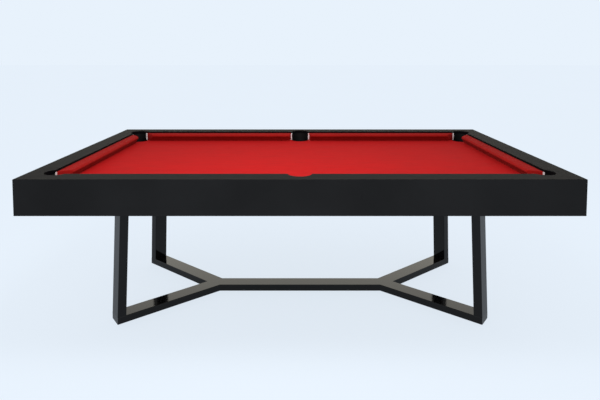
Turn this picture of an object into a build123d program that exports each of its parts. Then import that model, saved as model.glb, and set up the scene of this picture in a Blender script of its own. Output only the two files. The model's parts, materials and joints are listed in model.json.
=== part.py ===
from build123d import *
import os
from math import atan2, cos, degrees, hypot, radians, sin, sqrt, tan

# Pool table: a slate-bed table in a flat black cabinet, on a folded base of
# rectangular steel tube. Millimetres, +Z up, origin on the floor under the
# centre of the table, +X along the long rails, front at -Y.

os.makedirs("parts", exist_ok=True)

# ---- overall sizes ----
table_length = 2600.0
table_width = 1465.0
table_height = 864.0
half_length = table_length / 2
half_width = table_width / 2

# ---- cabinet ----
apron_height = 169.0
apron_thickness = 22.0
apron_edge_break = 1.2
apron_bottom = table_height - apron_height
corner_block_size = 45.0

# ---- bed: slate, cloth, and the rail caps and cushions above it; the cushions
# stand a little lower than the caps ----
rail_over_bed = 60.0
cushion_drop = 10.0
cushion_top = rail_over_bed - cushion_drop
cloth_thickness = 1.0
slate_thickness = 25.0
bed_top = table_height - rail_over_bed
slate_top = bed_top - cloth_thickness
slate_bottom = slate_top - slate_thickness
slate_margin = 50.0
slate_half_length = half_length - slate_margin
slate_half_width = half_width - slate_margin
slate_joint_x = slate_half_length / 3
slate_gap = 0.4
slate_pocket_round = 4.0

# ---- rails: distances are measured inward from the table's outer face ----
cap_inner = 105.0
nose_setback = 165.0
subrail_inner = 132.0
nose_x = half_length - nose_setback
nose_y = half_width - nose_setback
cap_x = half_length - cap_inner
cap_y = half_width - cap_inner
cap_pocket_round = 3.0

# ---- pockets ----
pocket_radius = 56.0
corner_pocket_inset = 135.0
centre_pocket_inset = 112.0
corner_tip_setback = 78.0
centre_mouth_half = 78.0
centre_throat_half = 66.0
liner_wall = 3.0
liner_fit = 0.5
liner_bottom = apron_bottom + 10.0
liner_lip = bed_top - 7.0
liner_recess = 20.0
liner_top = table_height - liner_recess
corner_x = half_length - corner_pocket_inset
corner_y = half_width - corner_pocket_inset
centre_y = half_width - centre_pocket_inset
pocket_chord = sqrt(pocket_radius**2 - (corner_pocket_inset - cap_inner) ** 2)

# ---- cushion ends: a cloth-covered rubber facing, and a chrome strip at the
# back of it, where the cushion meets the pocket wall ----
facing_thickness = 3.0
trim_thickness = 8.0
trim_reach = 5.0
trim_inset = 1.0

# ---- inner timber frame ----
frame_bottom = apron_bottom + 12.0
frame_height = slate_bottom - frame_bottom
beam_width = 40.0
long_beam_y = 525.0
end_beam_x = 1065.0
joint_beam_width = 120.0
leg_beam_width = 150.0
cleat_width = 44.0
cleat_height = 50.0
cleat_clearance = 12.0

# ---- base of rectangular tube ----
tube_width = 88.0
tube_height = 38.0
tube_wall = 3.0
tube_corner = 2.5
bar_bottom = 3.0
bar_top = bar_bottom + tube_height
fork_x = 498.0
foot_x = 987.0
foot_y = 381.5
fork_angle = atan2(foot_y, foot_x - fork_x)
fork_length = hypot(foot_x - fork_x, foot_y)
upright_depth = 46.0
upright_splay = radians(2.5)
top_plate_size = 150.0
top_plate_thickness = 6.0
plate_bottom = frame_bottom - top_plate_thickness

# ---- levelling feet under the ends of the floor bars ----
pad_radius = 19.0
pad_height = 9.0
pad_hole_radius = 20.0
pad_socket_radius = 4.05
pad_socket_depth = 5.0
leveller_inset = 24.0
stud_radius = 8.0
stud_bore_radius = 8.05
stud_hole_radius = 10.0
stud_pin_radius = 4.0
stud_gap = 0.3
stud_hex_radius = 12.0
stud_hex_height = 5.0
stud_top = 95.0
nut_size = 34.0
nut_height = 19.0

# ---- fasteners ----
slate_screw_radius = 3.0
slate_screw_head_radius = 6.0
slate_screw_head_height = 3.0
slate_screw_depth = 30.0
rail_bolt_radius = 4.0
rail_bolt_head_radius = 7.5
rail_bolt_head_height = 6.0
rail_bolt_rise = 26.0
rail_bolt_setback = 92.0
frame_bolt_radius = 5.0
frame_bolt_head_radius = 9.0
frame_bolt_head_height = 6.0
frame_bolt_depth = 40.0
frame_bolt_spread = 55.0
hole_clearance = 0.5
fit_clearance = 0.1
cutter = 400.0

sides = {"front": -1, "back": 1}
ends = {"left": -1, "right": 1}
quadrants = [(side, end, ends[end], sides[side]) for side in sides for end in ends]
on_top = (Align.CENTER, Align.CENTER, Align.MIN)

# Each pocket: centre, and the direction that leads outward from the bed.
corner_pockets = [
    (sx * corner_x, sy * corner_y, degrees(atan2(sy, sx))) for _, _, sx, sy in quadrants
]
centre_pockets = [(0.0, sy * centre_y, sy * 90.0) for sy in sides.values()]
pockets = corner_pockets + centre_pockets

# A sketch on one of these planes has x running inward from the outer face
# of that side of the table, and y running up.
rail_planes = {
    "front": Plane(origin=(0, -half_width, 0), x_dir=(0, 1, 0), z_dir=(1, 0, 0)),
    "back": Plane(origin=(0, half_width, 0), x_dir=(0, -1, 0), z_dir=(-1, 0, 0)),
    "left": Plane(origin=(-half_length, 0, 0), x_dir=(1, 0, 0), z_dir=(0, -1, 0)),
    "right": Plane(origin=(half_length, 0, 0), x_dir=(-1, 0, 0), z_dir=(0, 1, 0)),
}

# Cushion outline across the rail: (inward from the outer face, above the bed).
# The top falls gently to the nose and the face is undercut down to the bed.
cushion_outline = [
    (cap_inner, 0.3),
    (cap_inner, cushion_top),
    (cap_inner + 18, cushion_top - 0.5),
    (nose_setback - 24, cushion_top - 1.6),
    (nose_setback - 10, cushion_top - 3.2),
    (nose_setback - 5, cushion_top - 5.0),
    (nose_setback - 1.8, cushion_top - 9.0),
    (nose_setback, cushion_top - 13.5),
    (nose_setback - 1.2, cushion_top - 16.5),
    (nose_setback - 14, cushion_top - 31.0),
    (nose_setback - 24, 4.0),
    (nose_setback - 27, 0.3),
]


def corner_pair(point, sx, sy):
    """A point given for the back right quadrant, moved to another one."""
    return (sx * point[0], sy * point[1])


def cut_pocket_circles():
    """Round pocket openings, cut from the sketch being drawn."""
    for x, y, _ in pockets:
        with Locations((x, y)):
            Circle(pocket_radius, mode=Mode.SUBTRACT)


def cut_pocket_slots():
    """The pocket openings of the slate, which run on to its outer edge."""
    for x, y, outward in pockets:
        with Locations(Location((x, y, 0), (0, 0, outward))):
            Rectangle(
                cutter,
                2 * pocket_radius,
                align=(Align.MIN, Align.CENTER),
                mode=Mode.SUBTRACT,
            )


def round_pocket_arcs(level, radius):
    """Rounds the pocket edges of the piece being built, at one level."""
    part = BuildPart._get_context().part
    at_level = part.edges().filter_by_position(Axis.Z, level, level)
    fillet(at_level.filter_by(GeomType.CIRCLE), radius)


def add_cushion_section(plane, run, inset, start, stop):
    """One straight length of the cushion outline, drawn in by inset and
    kept between two distances from the outer face of the table."""
    with BuildSketch(plane) as section:
        Polygon(*[(x, bed_top + z) for x, z in cushion_outline], align=None)
        if inset:
            offset(amount=-inset, kind=Kind.INTERSECTION, mode=Mode.REPLACE)
        with Locations(((start + stop) / 2, bed_top)):
            Rectangle(stop - start, 3 * rail_over_bed, mode=Mode.INTERSECT)
    extrude(section.sketch, amount=run, both=True)


def add_all_cushion_sections(inset=0.0, start=cap_inner, stop=nose_setback):
    """The same section along all four sides of the table."""
    for side in sides:
        add_cushion_section(rail_planes[side], half_length, inset, start, stop)
    for end in ends:
        add_cushion_section(rail_planes[end], half_width, inset, start, stop)


def long_corner_end(distance, sx, sy):
    """Corner end of a long cushion, moved back from the mouth by distance."""
    tip = nose_x - corner_tip_setback - distance
    root = corner_x - pocket_chord - distance
    return [corner_pair((tip, nose_y), sx, sy), corner_pair((root, cap_y), sx, sy)]


def long_centre_end(distance, sx, sy):
    """Centre-pocket end of a long cushion."""
    tip = centre_mouth_half + distance
    root = centre_throat_half + distance
    return [corner_pair((tip, nose_y), sx, sy), corner_pair((root, cap_y), sx, sy)]


def short_corner_end(distance, sx, sy):
    """Corner end of a short cushion."""
    tip = nose_y - corner_tip_setback - distance
    root = corner_y - pocket_chord - distance
    return [corner_pair((nose_x, tip), sx, sy), corner_pair((cap_x, root), sx, sy)]


def closed_strip(first, second):
    """Outline of the strip between two end lines."""
    return [first[0], first[1], second[1], second[0]]


def end_strips(corner_only, near, far):
    """Strips across cushion ends, from near to far behind the mouth."""
    strips = []
    for _, _, sx, sy in quadrants:
        if corner_only:
            for end_line in (long_corner_end, short_corner_end):
                strips.append(closed_strip(end_line(near, sx, sy), end_line(far, sx, sy)))
        else:
            strips.append(
                closed_strip(long_centre_end(near, sx, sy), long_centre_end(far, sx, sy))
            )
    return strips


def cushion_plans(setback):
    """Outline in plan of each of the six cushions."""
    plans = {}
    for side, end, sx, sy in quadrants:
        plans[f"{side}_{end}"] = closed_strip(
            long_corner_end(setback, sx, sy), long_centre_end(setback, sx, sy)
        )
    for end, sx in ends.items():
        plans[end] = closed_strip(
            short_corner_end(setback, sx, -1), short_corner_end(setback, sx, 1)
        )
    return plans


def keep_plans(outlines):
    """Keeps only what stands over the given outlines."""
    with BuildSketch(Plane.XY.offset(bed_top - rail_over_bed)) as footprint:
        for outline in outlines:
            Polygon(*outline, align=None)
    extrude(footprint.sketch, amount=3 * rail_over_bed, mode=Mode.INTERSECT)


def hex_bolts(places, underside, head, head_height, shank, shank_length):
    """Bolts pointing up, with the heads below the given level."""
    for x, y in places:
        with BuildSketch(Plane.XY.offset(underside - head_height)) as hexagon:
            with Locations((x, y)):
                RegularPolygon(head, 6)
        extrude(hexagon.sketch, amount=head_height)
        with Locations((x, y, underside)):
            Cylinder(shank, shank_length, align=on_top)


def bore(places, bottom, radius, depth):
    """Round vertical holes starting at one level."""
    for x, y in places:
        with Locations((x, y, bottom)):
            Cylinder(radius, depth, align=on_top, mode=Mode.SUBTRACT)


# ---- positions worked out from the base geometry ----
half_tube = tube_width / 2
fork_mitre = half_tube * tan(fork_angle / 2)
along = (cos(fork_angle), sin(fork_angle))
across = (-sin(fork_angle), cos(fork_angle))


def foot_point(inward, sideways=0.0):
    """Point measured back along the floor bar from the end of its foot."""
    return (
        foot_x - inward * along[0] + sideways * across[0],
        foot_y - inward * along[1] + sideways * across[1],
    )


upright_foot = foot_point(upright_depth / 2)
upright_rise = plate_bottom - bar_top
upright_lean = tan(upright_splay) * upright_rise
upright_head = foot_point(upright_depth / 2 + upright_lean)
leveller_spot = foot_point(leveller_inset)
plate_bolt_spots = [
    (upright_head[0] + i * frame_bolt_spread, upright_head[1] + j * frame_bolt_spread)
    for i in (-1, 1)
    for j in (-1, 1)
]
frame_bolt_spots = [
    corner_pair(spot, sx, sy) for _, _, sx, sy in quadrants for spot in plate_bolt_spots
]

# ---- fastener positions in the bed ----
screw_rows = (-400.0, 0.0, 400.0)
screw_columns = (
    slate_joint_x - joint_beam_width / 4,
    slate_joint_x + joint_beam_width / 4,
    end_beam_x,
)
slate_screw_spots = [
    (sx * x, y) for x in screw_columns for y in screw_rows for sx in ends.values()
]
rail_bolt_y = half_width - rail_bolt_setback
rail_bolt_x = half_length - rail_bolt_setback
rail_bolt_spots = [
    (sx * x, sy * rail_bolt_y)
    for x in (200.0, 580.0, 960.0)
    for sx in ends.values()
    for sy in sides.values()
] + [(sx * rail_bolt_x, y) for y in (-360.0, 0.0, 360.0) for sx in ends.values()]

# =====================================================================
# Base
# =====================================================================

# Spine along the floor, pointed at both ends to meet the two diagonals.
with BuildPart() as floor_spine:
    with BuildSketch(Plane.YZ):
        with Locations((0, bar_bottom + tube_height / 2)):
            RectangleRounded(tube_width, tube_height, tube_corner)
            Rectangle(
                tube_width - 2 * tube_wall, tube_height - 2 * tube_wall, mode=Mode.SUBTRACT
            )
    extrude(amount=fork_x, both=True)
    with BuildSketch():
        Polygon(
            (fork_x, 0),
            (fork_x - 2 * fork_mitre, 2 * half_tube),
            (-fork_x + 2 * fork_mitre, 2 * half_tube),
            (-fork_x, 0),
            (-fork_x + 2 * fork_mitre, -2 * half_tube),
            (fork_x - 2 * fork_mitre, -2 * half_tube),
            align=None,
        )
    extrude(amount=cutter, mode=Mode.INTERSECT)
floor_spine.part.label = "floor_spine"
export_step(floor_spine.part, "parts/floor_spine.step")

# Diagonal floor bars, from the fork out to the feet.
for side, end, sx, sy in quadrants:
    back_off = half_tube
    start = (sx * (fork_x - back_off * along[0]), -sy * back_off * along[1])
    bar_plane = Plane(
        origin=(start[0], start[1], bar_bottom + tube_height / 2),
        x_dir=(sx * across[0], sy * across[1], 0),
        z_dir=(sx * along[0], sy * along[1], 0),
    )
    bisector = (radians(180) + fork_angle) / 2
    with BuildPart() as floor_bar:
        with BuildSketch(bar_plane):
            RectangleRounded(tube_width, tube_height, tube_corner)
            Rectangle(
                tube_width - 2 * tube_wall, tube_height - 2 * tube_wall, mode=Mode.SUBTRACT
            )
        extrude(amount=fork_length + back_off)
        with BuildSketch():
            Polygon(
                (sx * fork_x, 0),
                (sx * half_length, 0),
                (sx * half_length, sy * half_width),
                (
                    sx * (fork_x + half_width / tan(bisector)),
                    sy * half_width,
                ),
                align=None,
            )
        extrude(amount=cutter, mode=Mode.INTERSECT)
        spot = [corner_pair(leveller_spot, sx, sy)]
        bore(spot, 0, pad_hole_radius, bar_bottom + tube_wall)
        bore(spot, bar_top - tube_wall, stud_hole_radius, tube_wall)
    floor_bar.part.label = f"floor_bar_{side}_{end}"
    export_step(floor_bar.part, f"parts/floor_bar_{side}_{end}.step")

# Plates that close the ends of the diagonal bars.
with BuildPart() as end_plates:
    with BuildSketch(Plane.XY.offset(bar_bottom + tube_wall)):
        for _, _, sx, sy in quadrants:
            reach = half_tube - tube_wall
            outline = [
                foot_point(0, -reach),
                foot_point(0, reach),
                foot_point(tube_wall, reach),
                foot_point(tube_wall, -reach),
            ]
            Polygon(*[corner_pair(point, sx, sy) for point in outline], align=None)
    extrude(amount=tube_height - 2 * tube_wall)
end_plates.part.label = "floor_bar_end_plates"
export_step(end_plates.part, "parts/floor_bar_end_plates.step")

# Uprights: the same tube stood on the feet, leaning in towards the top.
for side, end, sx, sy in quadrants:
    foot = corner_pair(upright_foot, sx, sy)
    foot_plane = Plane(
        origin=(foot[0], foot[1], bar_top),
        x_dir=(sx * along[0], sy * along[1], 0),
        z_dir=(0, 0, 1),
    )
    lean = (
        -sx * along[0] * tan(upright_splay),
        -sy * along[1] * tan(upright_splay),
        1.0,
    )
    with BuildPart() as upright:
        with BuildSketch(foot_plane):
            RectangleRounded(upright_depth, tube_width, tube_corner)
            Rectangle(
                upright_depth - 2 * tube_wall,
                tube_width - 2 * tube_wall,
                mode=Mode.SUBTRACT,
            )
        extrude(amount=upright_rise / cos(upright_splay), dir=lean)
    upright.part.label = f"upright_{side}_{end}"
    export_step(upright.part, f"parts/upright_{side}_{end}.step")

# Plates on top of the uprights, bolted up into the leg beams.
with BuildPart() as top_plates:
    for _, _, sx, sy in quadrants:
        head = corner_pair(upright_head, sx, sy)
        with Locations((head[0], head[1], plate_bottom)):
            Box(top_plate_size, top_plate_size, top_plate_thickness, align=on_top)
    bore(
        frame_bolt_spots,
        plate_bottom,
        frame_bolt_radius + hole_clearance,
        top_plate_thickness,
    )
top_plates.part.label = "upright_top_plates"
export_step(top_plates.part, "parts/upright_top_plates.step")

with BuildPart() as frame_bolts:
    hex_bolts(
        frame_bolt_spots,
        plate_bottom,
        frame_bolt_head_radius,
        frame_bolt_head_height,
        frame_bolt_radius,
        top_plate_thickness + frame_bolt_depth,
    )
frame_bolts.part.label = "frame_bolts"
export_step(frame_bolts.part, "parts/frame_bolts.step")

# Threaded blocks welded inside the floor bars, for the levelling studs.
leveller_spots = [corner_pair(leveller_spot, sx, sy) for _, _, sx, sy in quadrants]
with BuildPart() as leveller_nuts:
    for x, y in leveller_spots:
        with Locations((x, y, bar_top - tube_wall - nut_height)):
            Cylinder(nut_size / 2, nut_height, align=on_top)
    bore(leveller_spots, 0, stud_bore_radius, bar_top)
leveller_nuts.part.label = "leveller_nuts"
export_step(leveller_nuts.part, "parts/leveller_nuts.step")

# Levelling feet: a pad that carries the table, and the stud that drives it.
for side, end, sx, sy in quadrants:
    x, y = corner_pair(leveller_spot, sx, sy)
    with BuildPart() as pad:
        with Locations((x, y, 0)):
            Cylinder(pad_radius, pad_height, align=on_top)
        fillet(pad.edges().filter_by(GeomType.CIRCLE), 1.0)
        with Locations((x, y, pad_height - pad_socket_depth)):
            Cylinder(pad_socket_radius, pad_socket_depth, align=on_top, mode=Mode.SUBTRACT)
    pad.part.label = f"leveller_pad_{side}_{end}"
    export_step(pad.part, f"parts/leveller_pad_{side}_{end}.step")

    collar = pad_height + stud_gap
    with BuildPart() as stud:
        with Locations((x, y, collar + stud_gap - pad_socket_depth)):
            Cylinder(stud_pin_radius, pad_socket_depth, align=on_top)
        with BuildSketch(Plane.XY.offset(collar)):
            with Locations((x, y)):
                RegularPolygon(stud_hex_radius, 6)
        extrude(amount=stud_hex_height)
        with Locations((x, y, collar)):
            Cylinder(stud_radius, stud_top - collar, align=on_top)
    stud.part.label = f"leveller_stud_{side}_{end}"
    export_step(stud.part, f"parts/leveller_stud_{side}_{end}.step")

# =====================================================================
# Cabinet
# =====================================================================

inner_length = half_length - apron_thickness
inner_width = half_width - apron_thickness

# Aprons, mitred together at the corners and flush with the rail caps.
for name, sign in {**sides, **ends}.items():
    lengthwise = name in sides
    outer = (half_length, half_width) if lengthwise else (half_width, half_length)
    inner = (inner_length, inner_width) if lengthwise else (inner_width, inner_length)
    outline = [
        (-outer[0], sign * outer[1]),
        (outer[0], sign * outer[1]),
        (inner[0], sign * inner[1]),
        (-inner[0], sign * inner[1]),
    ]
    points = outline if lengthwise else [(b, a) for a, b in outline]
    with BuildPart() as apron:
        with BuildSketch(Plane.XY.offset(apron_bottom)):
            Polygon(*points, align=None)
        extrude(amount=apron_height)
        run_axis = Axis.X if lengthwise else Axis.Y
        out_axis = Axis.Y if lengthwise else Axis.X
        long_edges = apron.edges().filter_by(run_axis).sort_by(out_axis)
        outer_edges = long_edges[-2:] if sign > 0 else long_edges[:2]
        chamfer(outer_edges, apron_edge_break)
    apron.part.label = f"apron_{name}"
    export_step(apron.part, f"parts/apron_{name}.step")

# Blocks glued into the inside corners of the cabinet.
with BuildPart() as corner_blocks:
    for _, _, sx, sy in quadrants:
        middle = corner_pair(
            (inner_length - corner_block_size / 2, inner_width - corner_block_size / 2), sx, sy
        )
        with Locations((middle[0], middle[1], frame_bottom)):
            Box(corner_block_size, corner_block_size, frame_height, align=on_top)
corner_blocks.part.label = "corner_blocks"
export_step(corner_blocks.part, "parts/corner_blocks.step")

# Two long beams carry the slate along its length.
for side, sy in sides.items():
    with BuildPart() as long_beam:
        with Locations((0, sy * long_beam_y, frame_bottom)):
            Box(2 * end_beam_x + beam_width, beam_width, frame_height, align=on_top)
    long_beam.part.label = f"long_beam_{side}"
    export_step(long_beam.part, f"parts/long_beam_{side}.step")

# Beams across the table between the long beams.
cross_span = 2 * long_beam_y - beam_width
cross_beams = {
    "end_beams": (end_beam_x, beam_width),
    "slate_joint_beams": (slate_joint_x, joint_beam_width),
    "leg_beams": (upright_head[0], leg_beam_width),
}
for beam_name, (beam_x, width) in cross_beams.items():
    with BuildPart() as beams:
        for sx in ends.values():
            with Locations((sx * beam_x, 0, frame_bottom)):
                Box(width, cross_span, frame_height, align=on_top)
        bore(
            slate_screw_spots,
            slate_bottom - slate_screw_depth,
            slate_screw_radius + fit_clearance,
            slate_screw_depth,
        )
        bore(
            frame_bolt_spots,
            frame_bottom,
            frame_bolt_radius + fit_clearance,
            frame_bolt_depth,
        )
    beams.part.label = beam_name
    export_step(beams.part, f"parts/{beam_name}.step")

# Cleats on the inside of the aprons, under the edge of the slate.
cleat_bottom = slate_bottom - cleat_height
long_cleat_start = pocket_radius + cleat_clearance
long_cleat_end = corner_x - pocket_radius - cleat_clearance
short_cleat_end = corner_y - pocket_radius - cleat_clearance
with BuildPart() as cleats:
    for _, _, sx, sy in quadrants:
        x = sx * (long_cleat_start + long_cleat_end) / 2
        with Locations((x, sy * (inner_width - cleat_width / 2), cleat_bottom)):
            Box(long_cleat_end - long_cleat_start, cleat_width, cleat_height, align=on_top)
    for sx in ends.values():
        with Locations((sx * (inner_length - cleat_width / 2), 0, cleat_bottom)):
            Box(cleat_width, 2 * short_cleat_end, cleat_height, align=on_top)
cleats.part.label = "slate_cleats"
export_step(cleats.part, "parts/slate_cleats.step")

# =====================================================================
# Bed
# =====================================================================

slate_spans = {
    "slate_left": (-slate_half_length, -slate_joint_x - slate_gap / 2),
    "slate_centre": (-slate_joint_x + slate_gap / 2, slate_joint_x - slate_gap / 2),
    "slate_right": (slate_joint_x + slate_gap / 2, slate_half_length),
}
for slate_name, (start, stop) in slate_spans.items():
    with BuildPart() as slate:
        with BuildSketch(Plane.XY.offset(slate_bottom)):
            with Locations(((start + stop) / 2, 0)):
                Rectangle(stop - start, 2 * slate_half_width)
            cut_pocket_circles()
            cut_pocket_slots()
        extrude(amount=slate_thickness)
        round_pocket_arcs(slate_top, slate_pocket_round)
        bore(
            slate_screw_spots,
            slate_bottom,
            slate_screw_radius + hole_clearance,
            slate_thickness,
        )
        bore(
            slate_screw_spots,
            slate_top - slate_screw_head_height,
            slate_screw_head_radius + hole_clearance,
            slate_screw_head_height,
        )
        bore(rail_bolt_spots, slate_bottom, rail_bolt_radius + hole_clearance, slate_thickness)
    slate.part.label = slate_name
    export_step(slate.part, f"parts/{slate_name}.step")

with BuildPart() as slate_screws:
    for x, y in slate_screw_spots:
        with Locations((x, y, slate_top - slate_screw_head_height)):
            Cylinder(slate_screw_head_radius, slate_screw_head_height, align=on_top)
        with Locations((x, y, slate_bottom - slate_screw_depth)):
            Cylinder(slate_screw_radius, slate_thickness + slate_screw_depth, align=on_top)
slate_screws.part.label = "slate_screws"
export_step(slate_screws.part, "parts/slate_screws.step")

# Cloth over the bed, reaching just under the cushions.
with BuildPart() as bed_cloth:
    with BuildSketch(Plane.XY.offset(slate_top)):
        Rectangle(2 * (cap_x - cloth_thickness), 2 * (cap_y - cloth_thickness))
        cut_pocket_circles()
    extrude(amount=cloth_thickness)
bed_cloth.part.label = "bed_cloth"
export_step(bed_cloth.part, "parts/bed_cloth.step")

# =====================================================================
# Rails and cushions
# =====================================================================

# Flat rail caps, mitred at the corners and cut away for the pockets.
for name, sign in {**sides, **ends}.items():
    lengthwise = name in sides
    outer = (inner_length, inner_width) if lengthwise else (inner_width, inner_length)
    inner = (cap_x, cap_y) if lengthwise else (cap_y, cap_x)
    outline = [
        (-outer[0], sign * outer[1]),
        (outer[0], sign * outer[1]),
        (inner[0], sign * inner[1]),
        (-inner[0], sign * inner[1]),
    ]
    points = outline if lengthwise else [(b, a) for a, b in outline]
    with BuildPart() as rail_cap:
        with BuildSketch(Plane.XY.offset(slate_top)):
            Polygon(*points, align=None)
            cut_pocket_circles()
        extrude(amount=table_height - slate_top)
        round_pocket_arcs(table_height, cap_pocket_round)
        bore(rail_bolt_spots, slate_top, rail_bolt_radius + fit_clearance, rail_bolt_rise)
    rail_cap.part.label = f"rail_cap_{name}"
    export_step(rail_cap.part, f"parts/rail_cap_{name}.step")

with BuildPart() as rail_bolts:
    hex_bolts(
        rail_bolt_spots,
        slate_bottom,
        rail_bolt_head_radius,
        rail_bolt_head_height,
        rail_bolt_radius,
        slate_thickness + rail_bolt_rise,
    )
rail_bolts.part.label = "rail_bolts"
export_step(rail_bolts.part, "parts/rail_bolts.step")

# Cloth covers of the six cushions, each a sleeve around its filling.
for name, plan in cushion_plans(facing_thickness).items():
    lengthwise = name not in ends
    plane = rail_planes[name.split("_")[0]]
    with BuildPart() as cover:
        with BuildSketch(plane):
            Polygon(*[(x, bed_top + z) for x, z in cushion_outline], align=None)
            offset(amount=-cloth_thickness, kind=Kind.INTERSECTION, mode=Mode.SUBTRACT)
        extrude(amount=half_length if lengthwise else half_width, both=True)
        keep_plans([plan])
    cover.part.label = f"cushion_cloth_{name}"
    export_step(cover.part, f"parts/cushion_cloth_{name}.step")

# Timber sub-rails and rubber noses inside the cushion covers.
with BuildPart() as subrails:
    add_all_cushion_sections(cloth_thickness, cap_inner, subrail_inner)
    keep_plans(cushion_plans(facing_thickness).values())
subrails.part.label = "cushion_subrails"
export_step(subrails.part, "parts/cushion_subrails.step")

with BuildPart() as rubbers:
    add_all_cushion_sections(cloth_thickness, subrail_inner, nose_setback)
    keep_plans(cushion_plans(facing_thickness).values())
rubbers.part.label = "cushion_rubbers"
export_step(rubbers.part, "parts/cushion_rubbers.step")

# Rubber facings on all twelve cushion ends, covered by the rail cloth.
with BuildPart() as facings:
    add_all_cushion_sections()
    keep_plans(
        end_strips(True, 0, facing_thickness) + end_strips(False, 0, facing_thickness)
    )
facings.part.label = "cushion_facings"
export_step(facings.part, "parts/cushion_facings.step")

# Upright chrome strips beside the pocket walls, standing on the facings.
for trim_name, at_corners in (("corner_jaw_trims", True), ("centre_jaw_trims", False)):
    with BuildPart() as trims:
        add_all_cushion_sections(trim_inset, cap_inner, cap_inner + trim_reach)
        keep_plans(end_strips(at_corners, -trim_thickness, 0))
    trims.part.label = trim_name
    export_step(trims.part, f"parts/{trim_name}.step")

# =====================================================================
# Pockets
# =====================================================================


def build_liner(x, y, sx, sy, name):
    """A drop pocket: a cup under the bed whose back wall runs on up
    inside the opening of the rail caps."""
    radius = pocket_radius - liner_fit
    reach_x = sx * (cap_x + liner_fit) if sx else 0.0
    align_x = {1: Align.MAX, -1: Align.MIN, 0: Align.CENTER}[sx]
    align_y = Align.MAX if sy > 0 else Align.MIN
    with BuildPart() as liner:
        with Locations((x, y, liner_bottom)):
            Cylinder(radius, liner_top - liner_bottom, align=on_top)
        with Locations((x, y, liner_bottom + liner_wall)):
            Cylinder(radius - liner_wall, cutter, align=on_top, mode=Mode.SUBTRACT)
        with Locations((reach_x, sy * (cap_y + liner_fit), liner_lip)):
            Box(
                cutter,
                cutter,
                cutter,
                align=(align_x, align_y, Align.MIN),
                mode=Mode.SUBTRACT,
            )
    liner.part.label = name
    export_step(liner.part, f"parts/{name}.step")


for side, end, sx, sy in quadrants:
    build_liner(sx * corner_x, sy * corner_y, sx, sy, f"pocket_liner_{side}_{end}")
for side, sy in sides.items():
    build_liner(0.0, sy * centre_y, 0, sy, f"pocket_liner_{side}_centre")
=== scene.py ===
import json
import math

import bmesh
import bpy
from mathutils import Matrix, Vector


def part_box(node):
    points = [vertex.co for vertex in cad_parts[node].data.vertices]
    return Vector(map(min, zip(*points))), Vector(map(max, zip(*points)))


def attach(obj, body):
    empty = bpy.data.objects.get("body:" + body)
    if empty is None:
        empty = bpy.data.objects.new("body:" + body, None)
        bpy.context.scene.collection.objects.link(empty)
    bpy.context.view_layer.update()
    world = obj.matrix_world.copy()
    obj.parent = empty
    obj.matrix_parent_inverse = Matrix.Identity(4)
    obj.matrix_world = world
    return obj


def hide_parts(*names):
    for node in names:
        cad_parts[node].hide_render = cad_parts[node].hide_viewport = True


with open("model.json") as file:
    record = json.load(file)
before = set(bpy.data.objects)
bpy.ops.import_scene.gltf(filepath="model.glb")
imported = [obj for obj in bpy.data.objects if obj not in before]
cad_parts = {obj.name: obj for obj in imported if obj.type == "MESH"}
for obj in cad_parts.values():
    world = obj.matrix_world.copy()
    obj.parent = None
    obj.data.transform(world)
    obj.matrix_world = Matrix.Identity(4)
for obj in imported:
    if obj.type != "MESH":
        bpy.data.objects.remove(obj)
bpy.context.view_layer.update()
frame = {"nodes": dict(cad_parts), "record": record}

# The looks of a slate-bed pool table: black satin cabinet and rail caps, red
# cloth, chrome-trimmed pocket mouths and a gloss black tubular base. Metres,
# in the CAD frame: +X along the long rails, front at -Y, floor at Z = 0.

TABLE = "table"
SIDES = {"front": -1, "back": 1}
ENDS = {"left": -1, "right": 1}

# ---- sizes read from the frame ----
apron_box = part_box("apron_front")
half_length = apron_box[1][0]
half_width = -apron_box[0][1]
table_top = apron_box[1][2]
apron_bottom = apron_box[0][2]
cloth_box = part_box("bed_cloth")
bed_top = cloth_box[1][2]
cloth_half_length = cloth_box[1][0]
cloth_half_width = cloth_box[1][1]
centre_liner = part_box("pocket_liner_back_centre")
corner_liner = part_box("pocket_liner_back_right")
LINER_FIT = 0.0005
pocket_radius = (centre_liner[1][0] - centre_liner[0][0]) / 2 + LINER_FIT
corner_x = corner_liner[1][0] - pocket_radius + LINER_FIT
corner_y = corner_liner[1][1] - pocket_radius + LINER_FIT
centre_y = centre_liner[1][1] - pocket_radius + LINER_FIT


# =====================================================================
# Node materials
# =====================================================================


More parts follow.
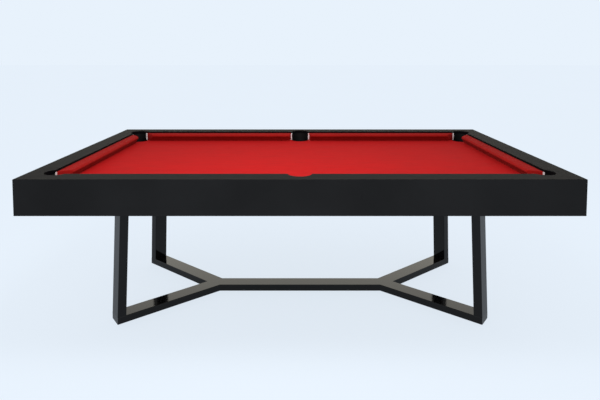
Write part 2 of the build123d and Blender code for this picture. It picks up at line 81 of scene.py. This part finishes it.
class Nodes:
    """A new material's node tree, with short calls for the nodes used here."""

    def __init__(self, name):
        self.material = bpy.data.materials.new(name)
        self.material.use_nodes = True
        self.tree = self.material.node_tree
        self.shader = self.tree.nodes["Principled BSDF"]

    def node(self, kind, **settings):
        made = self.tree.nodes.new(kind)
        for key, value in settings.items():
            setattr(made, key, value)
        return made

    def link(self, source, target):
        self.tree.links.new(source, target)

    def place(self, scale=(1.0, 1.0, 1.0), turn=0.0):
        """Object coordinates in metres, stretched and turned about Z."""
        coords = self.node("ShaderNodeTexCoord")
        mapping = self.node("ShaderNodeMapping")
        mapping.inputs["Scale"].default_value = scale
        mapping.inputs["Rotation"].default_value = (0, 0, turn)
        self.link(coords.outputs["Object"], mapping.inputs["Vector"])
        return mapping.outputs["Vector"]

    def noise(self, vector, scale, detail=3.0, roughness=0.5, distortion=0.0):
        texture = self.node("ShaderNodeTexNoise")
        texture.inputs["Scale"].default_value = scale
        texture.inputs["Detail"].default_value = detail
        texture.inputs["Roughness"].default_value = roughness
        texture.inputs["Distortion"].default_value = distortion
        self.link(vector, texture.inputs["Vector"])
        return texture.outputs["Fac"]

    def wave(self, vector, scale, distortion=0.0, direction="X"):
        texture = self.node("ShaderNodeTexWave", bands_direction=direction)
        texture.inputs["Scale"].default_value = scale
        texture.inputs["Distortion"].default_value = distortion
        self.link(vector, texture.inputs["Vector"])
        return texture.outputs["Fac"]

    def maths(self, operation, first, second):
        made = self.node("ShaderNodeMath", operation=operation)
        for value, socket in ((first, made.inputs[0]), (second, made.inputs[1])):
            if isinstance(value, (int, float)):
                socket.default_value = value
            else:
                self.link(value, socket)
        return made.outputs[0]

    def ramp(self, factor, stops):
        """Colours along a factor: stops are (position, (r, g, b))."""
        made = self.node("ShaderNodeValToRGB")
        band = made.color_ramp
        while len(band.elements) < len(stops):
            band.elements.new(0.5)
        for element, (position, colour) in zip(band.elements, stops):
            element.position = position
            element.color = (*colour, 1.0)
        self.link(factor, made.inputs["Fac"])
        return made.outputs["Color"]

    def remap(self, factor, low, high):
        """A 0 to 1 factor stretched to run from low to high."""
        made = self.node("ShaderNodeMapRange")
        made.inputs["To Min"].default_value = low
        made.inputs["To Max"].default_value = high
        self.link(factor, made.inputs["Value"])
        return made.outputs["Result"]

    def bump(self, height, distance, strength):
        made = self.node("ShaderNodeBump")
        made.inputs["Distance"].default_value = distance
        made.inputs["Strength"].default_value = strength
        self.link(height, made.inputs["Height"])
        return made.outputs["Normal"]

    def colour(self, source):
        self.link(source, self.shader.inputs["Base Color"])

    def roughness(self, source):
        self.link(source, self.shader.inputs["Roughness"])

    def normal(self, source):
        self.link(source, self.shader.inputs["Normal"])

    def set(self, **values):
        """Plain values on the shader's own sockets, spaces as underscores."""
        for key, value in values.items():
            self.shader.inputs[key.replace("_", " ")].default_value = value


def shade(colour, factor):
    return tuple(channel * factor for channel in colour)


def billiard_cloth(name, colour):
    """Napped worsted: fine twill, short nap, faint shading where it is brushed."""
    made = Nodes(name)
    place = made.place()
    nap = made.noise(made.place((1.0, 4.0, 1.0)), 9.0, detail=5.0)
    fibre = made.noise(place, 900.0, detail=2.0)
    mix = made.maths("ADD", made.maths("MULTIPLY", nap, 0.65), made.maths("MULTIPLY", fibre, 0.35))
    made.colour(
        made.ramp(mix, [(0.3, shade(colour, 0.86)), (0.5, colour), (0.72, shade(colour, 1.1))])
    )
    made.roughness(made.remap(nap, 0.82, 0.95))
    twill = made.wave(made.place(turn=math.radians(45)), 520.0, distortion=1.5)
    weave = made.maths("ADD", made.maths("MULTIPLY", twill, 0.6), made.maths("MULTIPLY", fibre, 0.4))
    made.normal(made.bump(weave, 0.00025, 0.5))
    made.set(Specular_IOR_Level=0.03, Sheen_Weight=0.03, Sheen_Roughness=0.5)
    made.shader.inputs["Sheen Tint"].default_value = (1.0, 0.3, 0.28, 1.0)
    return made.material


def satin_lacquer(name, colour, roughness, sheen_level, upward_shade=1.0):
    """Sprayed satin lacquer over board: soft orange peel and faint handling
    marks. Faces that look up take a painted shade: the colour times the
    given factor."""
    made = Nodes(name)
    place = made.place()
    cloud = made.noise(place, 2.5, detail=4.0)
    marks = made.noise(made.place((1.0, 6.0, 6.0)), 14.0, detail=6.0, roughness=0.65)
    sides = made.ramp(cloud, [(0.35, shade(colour, 0.9)), (0.65, shade(colour, 1.12))])
    # painted shade: the colour turns to the darker one as the face's normal turns up
    upward_shade_mask = made.node("ShaderNodeSeparateXYZ")
    made.link(made.node("ShaderNodeTexCoord").outputs["Normal"], upward_shade_mask.inputs["Vector"])
    both = made.node("ShaderNodeMix", data_type="RGBA")
    made.link(upward_shade_mask.outputs["Z"], both.inputs["Factor"])
    made.link(sides, both.inputs["A"])
    both.inputs["B"].default_value = (*shade(colour, upward_shade), 1.0)
    made.colour(both.outputs["Result"])
    made.roughness(made.remap(marks, roughness - 0.05, roughness + 0.07))
    peel = made.noise(place, 420.0, detail=2.0)
    made.normal(made.bump(peel, 0.00006, 0.35))
    made.set(Specular_IOR_Level=sheen_level)
    return made.material


def gloss_steel(name, colour):
    """Gloss black powder coat with a clear coat on rectangular steel tube."""
    made = Nodes(name)
    place = made.place()
    cloud = made.noise(place, 6.0, detail=3.0)
    dust = made.noise(place, 160.0, detail=4.0, roughness=0.6)
    made.colour(made.ramp(cloud, [(0.3, shade(colour, 0.8)), (0.7, shade(colour, 1.3))]))
    made.roughness(made.remap(dust, 0.05, 0.12))
    peel = made.noise(place, 190.0, detail=1.0)
    made.normal(made.bump(peel, 0.00004, 0.15))
    made.set(IOR=1.4)
    return made.material


def polished_metal(name, colour):
    """Bright plated trim, lightly wiped."""
    made = Nodes(name)
    wipe = made.noise(made.place((1.0, 1.0, 8.0)), 60.0, detail=4.0)
    made.colour(made.ramp(wipe, [(0.3, shade(colour, 0.92)), (0.7, colour)]))
    made.roughness(made.remap(wipe, 0.3, 0.42))
    made.normal(made.bump(wipe, 0.00003, 0.3))
    made.set(Metallic=0.55)
    return made.material


def zinc(name):
    """Zinc-plated fasteners: dull, slightly blue and spangled."""
    made = Nodes(name)
    spangle = made.node("ShaderNodeTexVoronoi")
    spangle.inputs["Scale"].default_value = 240.0
    made.link(made.place(), spangle.inputs["Vector"])
    made.colour(
        made.ramp(spangle.outputs["Distance"], [(0.1, (0.5, 0.51, 0.52)), (0.6, (0.62, 0.62, 0.6))])
    )
    made.roughness(made.remap(spangle.outputs["Distance"], 0.3, 0.5))
    made.set(Metallic=1.0)
    return made.material


def moulded(name, colour, roughness, grain, depth):
    """Moulded rubber or plastic with a fine grain."""
    made = Nodes(name)
    place = made.place()
    speck = made.noise(place, grain, detail=3.0, roughness=0.6)
    cloud = made.noise(place, 12.0, detail=3.0)
    made.colour(made.ramp(cloud, [(0.3, shade(colour, 0.8)), (0.7, shade(colour, 1.25))]))
    made.roughness(made.remap(speck, roughness - 0.07, roughness + 0.07))
    made.normal(made.bump(speck, depth, 0.5))
    made.set(Specular_IOR_Level=0.15)
    return made.material


def slate_stone(name):
    """Honed grey slate: faint cloudy layers and a fine tooth."""
    made = Nodes(name)
    layers = made.noise(made.place((1.0, 1.0, 14.0)), 6.0, detail=7.0, roughness=0.6)
    made.colour(
        made.ramp(
            layers,
            [(0.3, (0.045, 0.05, 0.055)), (0.55, (0.075, 0.08, 0.086)), (0.8, (0.12, 0.12, 0.125))],
        )
    )
    tooth = made.noise(made.place(), 500.0, detail=4.0)
    made.roughness(made.remap(tooth, 0.5, 0.72))
    made.normal(made.bump(tooth, 0.0001, 0.5))
    return made.material


def softwood(name, lengthwise):
    """Planed softwood with grain along one axis."""
    made = Nodes(name)
    stretch = (0.6, 9.0, 9.0) if lengthwise else (9.0, 0.6, 9.0)
    figure = made.noise(made.place(stretch), 3.2, detail=6.0, roughness=0.55, distortion=1.6)
    rings = made.wave(
        made.place(stretch), 2.4, distortion=7.0, direction="Y" if lengthwise else "X"
    )
    mix = made.maths(
        "ADD", made.maths("MULTIPLY", figure, 0.55), made.maths("MULTIPLY", rings, 0.45)
    )
    made.colour(
        made.ramp(
            mix,
            [(0.25, (0.33, 0.19, 0.085)), (0.5, (0.5, 0.33, 0.17)), (0.8, (0.62, 0.44, 0.25))],
        )
    )
    made.roughness(made.remap(figure, 0.55, 0.72))
    made.normal(made.bump(mix, 0.0004, 0.35))
    return made.material


BED_RED = (0.325, 0.004, 0.0044)
# painted shade: the cushions carry the bed's cloth in a darker red, for the shade on their tops and
# faces
SHADED_CUSHION_RED = (0.222, 0.006, 0.005)

finishes = {
    # painted shade: the apron's upward faces are darkened to the rail caps' black
    "apron_black": satin_lacquer("apron_black", (0.0168, 0.0172, 0.018), 0.6, 0.03, upward_shade=0.12),
    "rail_black": satin_lacquer("rail_black", (0.002, 0.0018, 0.0022), 0.6, 0.03),
    "cushion_cloth": billiard_cloth("cushion_cloth", SHADED_CUSHION_RED),
    "bed_cloth": billiard_cloth("bed_cloth", BED_RED),
    "rubber": moulded("rubber", (0.012, 0.012, 0.012), 0.62, 700.0, 0.00006),
    "slate": slate_stone("slate"),
    "timber": softwood("timber", True),
    "base_steel": gloss_steel("base_steel", (0.003, 0.003, 0.0033)),
    "pocket_black": moulded("pocket_black", (0.002, 0.002, 0.002), 0.6, 420.0, 0.00012),
    "chrome": polished_metal("chrome", (0.9, 0.88, 0.86)),
    "zinc": zinc("zinc"),
    "leveller_pad": moulded("leveller_pad", (0.012, 0.012, 0.012), 0.5, 600.0, 0.00005),
}
cross_timber = softwood("timber_cross", False)
CROSS_TIMBERS = ("end_beams", "leg_beams", "slate_joint_beams")


def finish_nodes():
    """Gives every carried-over CAD node the finish of its material slot."""
    for part in frame["record"]["subparts"]:
        made = frame["nodes"][part["node"]]
        chosen = finishes[part["material_slot"]]
        if part["node"] in CROSS_TIMBERS:
            chosen = cross_timber
        made.data.materials.clear()
        made.data.materials.append(chosen)


finish_nodes()


# =====================================================================
# Mesh helpers
# =====================================================================


def add_piece(name, mesh_maker, slot):
    """A new mesh object that rides with the table and takes a slot's finish."""
    mesh = bpy.data.meshes.new(name)
    shape = bmesh.new()
    mesh_maker(shape)
    bmesh.ops.recalc_face_normals(shape, faces=shape.faces)
    shape.to_mesh(mesh)
    shape.free()
    piece = bpy.data.objects.new(name, mesh)
    bpy.context.scene.collection.objects.link(piece)
    for face in mesh.polygons:
        face.use_smooth = True
    mesh.materials.append(finishes[slot])
    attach(piece, TABLE)
    return piece


# =====================================================================
# Cushions
# =====================================================================

MM = 0.001
CAP_INNER = 105 * MM
NOSE_SETBACK = 165 * MM
CORNER_TIP = 78 * MM
CENTRE_TIP = 78 * MM
CENTRE_ROOT = 66 * MM
WRAP = 0.4 * MM
corner_chord = math.sqrt(pocket_radius**2 - (half_width - CAP_INNER - corner_y) ** 2)

# Section of a covered cushion: (inward from the table's outer face, above the
# bed), in millimetres. The cloth dips where it is tucked against the rail cap,
# crowns a little, rounds the nose and is drawn back under it to the bed.
CUSHION_SECTION = [
    (105.1, 0.4), (105.1, 24.0), (105.1, 47.4), (105.4, 46.8), (105.8, 47.2), (106.0, 49.1),
    (107.2, 49.7), (110.5, 50.0), (116.0, 50.1), (123.0, 49.9), (131.0, 49.4), (140.0, 48.5),
    (149.0, 47.4), (154.5, 46.6), (157.6, 45.8), (160.0, 44.4), (161.9, 42.2), (163.4, 39.6),
    (164.5, 37.6), (165.0, 36.3), (164.8, 34.6), (163.6, 32.6), (159.5, 27.8), (152.0, 20.2),
    (146.0, 12.0), (141.6, 5.2), (139.6, 2.2), (138.4, 0.4), (122.0, 0.4),
]


def rail_place(side, run, inward, height):
    """A point on a side of the table: along it, in from its face, above the bed."""
    if side in SIDES:
        return (run, SIDES[side] * (half_width - inward), bed_top + height)
    return (ENDS[side] * (half_length - inward), run, bed_top + height)


def cushion_end(kind, half_run, inward):
    """How far along its side a cushion ends, at a distance in from the face."""
    share = (inward - CAP_INNER) / (NOSE_SETBACK - CAP_INNER)
    if kind == "centre":
        return CENTRE_ROOT + (CENTRE_TIP - CENTRE_ROOT) * share - WRAP
    corner_centre = corner_x if half_run == half_length else corner_y
    root = corner_centre - corner_chord
    tip = half_run - NOSE_SETBACK - CORNER_TIP
    return root + (tip - root) * share + WRAP


END_ROUND = [(0.0, 0.9), (0.0004, 0.45), (0.0012, 0.12), (0.0026, 0.0)]
MIDDLE_STATIONS = 48


def cushion_stations():
    """Places along a cushion as (share of its length, extra metres, tuck in
    millimetres): close together at the folded ends, even between."""
    first = [(0.0, extra, tuck) for extra, tuck in END_ROUND]
    middle = [(i / MIDDLE_STATIONS, 0.0, 0.0) for i in range(1, MIDDLE_STATIONS)]
    last = [(1.0, -extra, tuck) for extra, tuck in reversed(END_ROUND)]
    return first + middle + last


SECTION_MIDDLE = (132.0, 26.0)
STILL_INWARD = 115.0
LIFT_REACH = 50.0


def tucked(point, tuck):
    """A section point drawn towards the middle of the section."""
    away = (point[0] - SECTION_MIDDLE[0], point[1] - SECTION_MIDDLE[1])
    reach = math.hypot(*away)
    return (point[0] - away[0] / reach * tuck, point[1] - away[1] / reach * tuck)


def hand(seed, place):
    """Slow unevenness of hand-pulled cloth, within a fraction of a millimetre.
    It grows from nothing near the rail cap to the nose."""
    return 0.16 * math.sin(place * 3.1 + seed) + 0.09 * math.sin(place * 8.7 + 2.3 * seed)


def cushion_maker(side, start_of, end_of, seed):
    """Returns the mesh maker of a cushion between two end lines."""

    def make(shape):
        rings = []
        for share, extra, tuck in cushion_stations():
            ring = []
            for point in CUSHION_SECTION:
                inward, height = tucked(point, tuck)
                start, end = start_of(inward * MM), end_of(inward * MM)
                run = start + (end - start) * share + extra
                lift = hand(seed, run * 4.0) * max(0.0, (inward - STILL_INWARD) / LIFT_REACH)
                ring.append(
                    shape.verts.new(rail_place(side, run, inward * MM, (height + lift) * MM))
                )
            rings.append(ring)
        count = len(CUSHION_SECTION)
        for first, second in zip(rings, rings[1:]):
            for i in range(count):
                j = (i + 1) % count
                shape.faces.new((first[i], first[j], second[j], second[i]))
        shape.faces.new(rings[0])
        shape.faces.new(rings[-1])

    return make


def long_cushion(side, end):
    sign = ENDS[end]

    def near_centre(inward):
        return sign * cushion_end("centre", half_length, inward)

    def near_corner(inward):
        return sign * cushion_end("corner", half_length, inward)

    # the stations run towards +X on both halves
    pair = (near_centre, near_corner) if sign > 0 else (near_corner, near_centre)
    seed = 1.7 * SIDES[side] + 0.9 * sign
    return cushion_maker(side, pair[0], pair[1], seed)


def short_cushion(end):
    def low(inward):
        return -cushion_end("corner", half_width, inward)

    def high(inward):
        return cushion_end("corner", half_width, inward)

    return cushion_maker(end, low, high, 3.3 * ENDS[end])


def add_cushion(name, maker):
    piece = add_piece(f"cushion_{name}", maker, "cushion_cloth")
    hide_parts(f"cushion_cloth_{name}", "cushion_facings")
    return piece


for side in SIDES:
    for end in ENDS:
        add_cushion(f"{side}_{end}", long_cushion(side, end))
for end in ENDS:
    add_cushion(end, short_cushion(end))


# =====================================================================
# Bed cloth
# =====================================================================

CLOTH_ROLL = 5 * MM
CLOTH_DROP = 0.6 * MM
CLOTH_THICK = 0.9 * MM
ARC_STEPS = 28
ROLL_STEPS = 6


def cloth_arcs():
    """The six pocket arcs in order round the bed, as (x, y, start, end)."""
    flat_radius = pocket_radius + CLOTH_ROLL
    over_end = cloth_half_length - corner_x
    over_side = cloth_half_width - corner_y
    side_angle = math.pi - math.asin(over_side / flat_radius)
    end_angle = 1.5 * math.pi + math.asin(over_end / flat_radius)
    under = math.asin((cloth_half_width - centre_y) / flat_radius)
    arcs = []
    for sx, sy in ((1, 1), (-1, 1), (-1, -1), (1, -1)):
        start, end = (end_angle, side_angle) if sx * sy > 0 else (side_angle, end_angle)
        arcs.append((sx, sy, corner_x, corner_y, start, end))
        if (sx, sy) in ((1, 1), (-1, -1)):
            sweep = (2 * math.pi + under, math.pi - under)
            arcs.append((sx, sy, 0.0, centre_y, *sweep))
    return arcs


def cloth_maker(shape):
    flat_radius = pocket_radius + CLOTH_ROLL
    outline = []
    for sx, sy, x, y, start, end in cloth_arcs():
        edge = []
        for i in range(ARC_STEPS + 1):
            angle = start + (end - start) * i / ARC_STEPS
            direction = (sx * math.cos(angle), sy * math.sin(angle))
            column = []
            for j in range(ROLL_STEPS + 2):
                turn = min(j, ROLL_STEPS) / ROLL_STEPS * math.pi / 2
                radius = flat_radius - CLOTH_ROLL * math.sin(turn)
                drop = CLOTH_ROLL * (1 - math.cos(turn)) + (CLOTH_DROP if j > ROLL_STEPS else 0.0)
                place = (
                    sx * x + direction[0] * radius,
                    sy * y + direction[1] * radius,
                    bed_top - drop,
                )
                column.append(shape.verts.new(place))
            edge.append(column)
        for first, second in zip(edge, edge[1:]):
            for j in range(ROLL_STEPS + 1):
                shape.faces.new((first[j], second[j], second[j + 1], first[j + 1]))
        outline.extend(column[0] for column in edge)
    shape.faces.new(outline)


bed = add_piece("bed_cloth_sheet", cloth_maker, "bed_cloth")
max(bed.data.polygons, key=lambda face: face.area).use_smooth = False
thicken = bed.modifiers.new("thickness", "SOLIDIFY")
thicken.thickness = CLOTH_THICK
thicken.offset = -1.0
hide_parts("bed_cloth")


# =====================================================================
# Camera, light and floor
# =====================================================================

# A slight tilt and a frame shift take in the whole table, with its uprights
# still nearly upright in the picture.
SENSOR = 36.0
LENS = 29.208
EYE = (0.0, -2.9011, 1.4296)
TILT_DOWN = 0.06
FRAME_SHIFT = -0.19457
VIEW_REACH = 100.0

camera_data = bpy.data.cameras.new("camera")
camera_data.sensor_width = SENSOR
camera_data.lens = LENS
camera_data.shift_y = FRAME_SHIFT
camera_data.clip_end = VIEW_REACH
camera = bpy.data.objects.new("camera", camera_data)
bpy.context.scene.collection.objects.link(camera)
camera.location = EYE
camera.rotation_euler = (math.radians(90) - TILT_DOWN, 0.0, 0.0)
bpy.context.scene.camera = camera

BACKDROP = (0.807, 0.887, 0.973)
BACK_WALL = (1.62, 1.56, 1.36)
FRONT_WALL = (1.15, 1.17, 1.21)
CEILING = (0.68, 0.7, 0.73)
WALL_TURN = (0.62, 0.86)
CEILING_RISE = (0.3, 0.75)


def studio_world():
    """Pale backdrop for the camera; as light, a room with a bright back wall,
    a darker front and a soft ceiling."""
    world = bpy.data.worlds.new("world")
    world.use_nodes = True
    tree = world.node_tree
    nodes, links = tree.nodes, tree.links
    backdrop = nodes["Background"]
    backdrop.inputs["Color"].default_value = (*BACKDROP, 1.0)
    studio = nodes.new("ShaderNodeBackground")
    coords = nodes.new("ShaderNodeTexCoord")
    split = nodes.new("ShaderNodeSeparateXYZ")
    links.new(coords.outputs["Generated"], split.inputs["Vector"])
    walls = nodes.new("ShaderNodeValToRGB")
    walls.color_ramp.elements[0].position = WALL_TURN[0]
    walls.color_ramp.elements[0].color = (*FRONT_WALL, 1.0)
    walls.color_ramp.elements[1].position = WALL_TURN[1]
    walls.color_ramp.elements[1].color = (*BACK_WALL, 1.0)
    links.new(split.outputs["Y"], walls.inputs["Fac"])
    rise = nodes.new("ShaderNodeMapRange")
    rise.inputs["From Min"].default_value = CEILING_RISE[0]
    rise.inputs["From Max"].default_value = CEILING_RISE[1]
    links.new(split.outputs["Z"], rise.inputs["Value"])
    room = nodes.new("ShaderNodeMix")
    room.data_type = "RGBA"
    room.inputs["B"].default_value = (*CEILING, 1.0)
    links.new(rise.outputs["Result"], room.inputs["Factor"])
    links.new(walls.outputs["Color"], room.inputs["A"])
    links.new(room.outputs["Result"], studio.inputs["Color"])
    mix = nodes.new("ShaderNodeMixShader")
    rays = nodes.new("ShaderNodeLightPath")
    links.new(rays.outputs["Is Camera Ray"], mix.inputs["Fac"])
    links.new(studio.outputs["Background"], mix.inputs[1])
    links.new(backdrop.outputs["Background"], mix.inputs[2])
    links.new(mix.outputs["Shader"], nodes["World Output"].inputs["Surface"])
    bpy.context.scene.world = world


def soft_box(name, place, aim, power, width, depth):
    """A softbox hung at a place and turned towards a point."""
    data = bpy.data.lights.new(name, "AREA")
    data.shape = "RECTANGLE"
    data.size = width
    data.size_y = depth
    data.energy = power
    lamp = bpy.data.objects.new(name, data)
    bpy.context.scene.collection.objects.link(lamp)
    lamp.location = place
    lamp.rotation_mode = "QUATERNION"
    lamp.rotation_quaternion = (Vector(aim) - Vector(place)).to_track_quat("-Z", "Y")


FLOOR_BOUNCE = 0.46


def add_floor(reach, colour, glow):
    """Pale studio floor, with a glow of its own that keeps the shadows light
    and that lights the table only a little."""
    made = Nodes("floor")
    cloud = made.noise(made.place(), 0.4, detail=2.0)
    made.colour(made.ramp(cloud, [(0.3, shade(colour, 0.99)), (0.7, shade(colour, 1.01))]))
    made.set(Roughness=0.95, Specular_IOR_Level=0.0)
    rays = made.node("ShaderNodeLightPath")
    shine = made.node("ShaderNodeEmission")
    shine.inputs["Color"].default_value = (*BACKDROP, 1.0)
    seen = made.remap(rays.outputs["Is Camera Ray"], glow * FLOOR_BOUNCE, glow)
    made.link(seen, shine.inputs["Strength"])
    both = made.node("ShaderNodeAddShader")
    made.link(made.shader.outputs["BSDF"], both.inputs[0])
    made.link(shine.outputs["Emission"], both.inputs[1])
    made.link(both.outputs["Shader"], made.tree.nodes["Material Output"].inputs["Surface"])
    mesh = bpy.data.meshes.new("floor")
    shape = bmesh.new()
    bmesh.ops.create_grid(shape, x_segments=1, y_segments=1, size=reach)
    shape.to_mesh(mesh)
    shape.free()
    mesh.materials.append(made.material)
    floor = bpy.data.objects.new("floor", mesh)
    bpy.context.scene.collection.objects.link(floor)


studio_world()
soft_box(
    "key",
    place=(-0.2, -0.85, 2.35),
    aim=(0.0, -0.3, bed_top),
    power=34.0,
    width=1.0,
    depth=0.7,
)
add_floor(reach=60.0, colour=(0.12, 0.132, 0.148), glow=0.855)
bpy.context.scene.view_settings.view_transform = "Standard"
